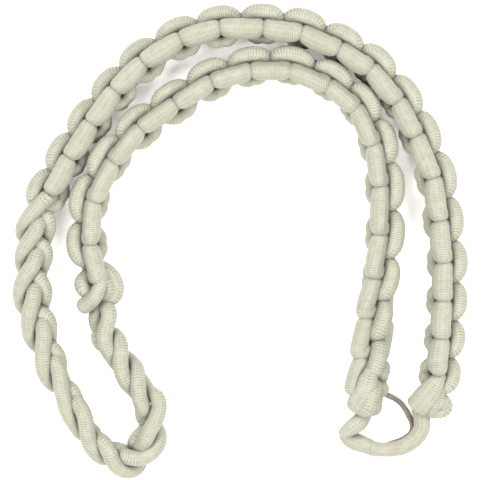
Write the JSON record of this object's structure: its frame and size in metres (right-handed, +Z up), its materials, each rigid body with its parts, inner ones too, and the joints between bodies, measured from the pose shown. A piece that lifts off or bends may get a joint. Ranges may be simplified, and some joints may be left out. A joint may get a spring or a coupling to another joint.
{
  "type": "aiguillette",
  "caption": "Shoulder cord of interlocking square knots in round braided cord, two legs joined by a plait, with a bridge cord and a button elastic.",
  "frame": {"origin": "middle of the laid loop's outline, on the surface that it lies on", "axes": "+Z up from the surface, +X towards the outer leg, +Y away from the plait's bend and the bridge cord"},
  "size_m": [0.1712, 0.179, 0.0183],
  "materials": {
    "cord": "tubular braided rayon cord, off-white with a grey-green cast, soft low sheen",
    "elastic": "thin round elastic with a braided cover, grey-brown"
  },
  "bodies": {
    "root": {"outer_chain": "cord", "inner_chain": "cord", "plait": "cord", "plait_end_knot": "cord", "inner_end_knot": "cord", "outer_end_knot": "cord", "bridge_cord": "cord", "button_elastic": "elastic"}
  },
  "joints": []
}
